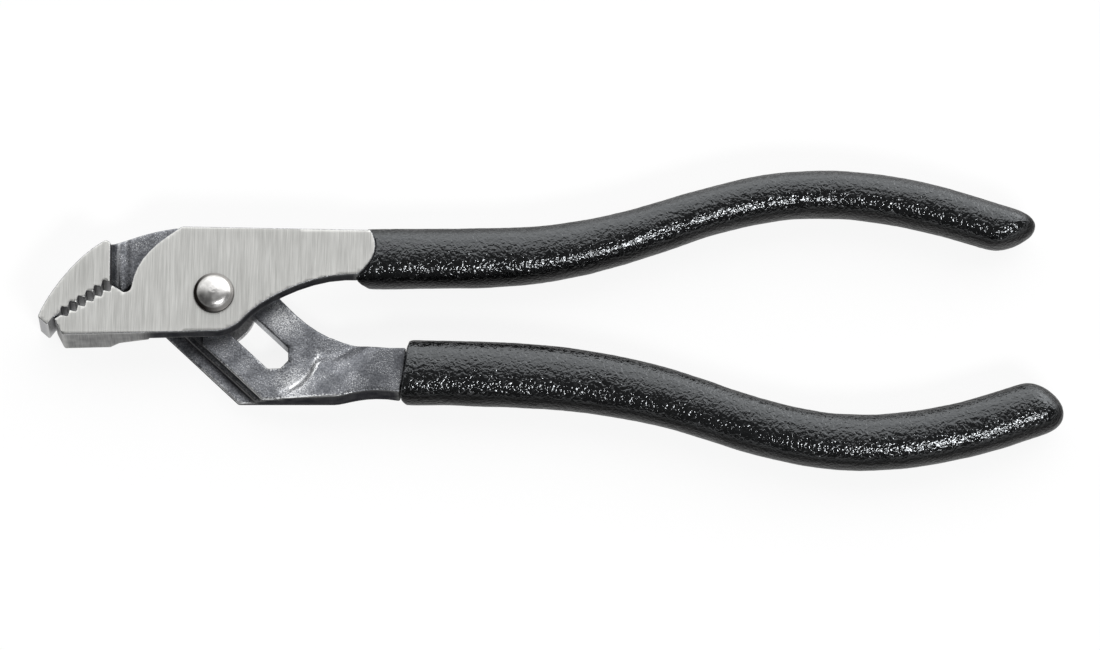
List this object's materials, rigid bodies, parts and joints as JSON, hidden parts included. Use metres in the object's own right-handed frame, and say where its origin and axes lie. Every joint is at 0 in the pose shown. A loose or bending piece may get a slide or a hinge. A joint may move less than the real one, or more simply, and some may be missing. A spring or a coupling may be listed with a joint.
{
  "type": "water pump pliers",
  "caption": "Angle-nose slip-joint pliers: toothed jaws on two forged halves that slide along a slot and turn on a rivet, with dipped vinyl grips.",
  "frame": {"origin": "rivet axis, on the flat back of the rivet's tail and washer, in the plane the tool lies on", "axes": "+X along the tool from the jaws to the handles, +Y across it towards the upper handle, +Z along the rivet towards the ground front face"},
  "size_m": [0.1707, 0.0513, 0.0116],
  "materials": {
    "ground_steel": "vertically ground bright steel faces",
    "forged_steel": "dark tumbled forging",
    "rivet_steel": "polished rivet head",
    "washer_steel": "plain steel washer",
    "dipped_vinyl": "semi-gloss black dipped vinyl with a fine grain"
  },
  "bodies": {
    "lower_handle": {"rear_forging": "forged_steel", "lower_grip": "dipped_vinyl"},
    "pivot": {"rivet": "rivet_steel", "back_washer": "washer_steel"},
    "upper_handle": {"front_forging": "ground_steel", "upper_grip": "dipped_vinyl"}
  },
  "joints": [
    {"name": "jaw_slide", "type": "slide", "parent": "lower_handle", "child": "pivot", "axis": [0.7254, -0.6884, 0], "range_m": [0, 0.011]},
    {"name": "jaw_hinge", "type": "hinge", "parent": "pivot", "child": "upper_handle", "pos_m": [0, 0, 0], "axis": [0, 0, 1], "range_deg": [0, 48]}
  ]
}
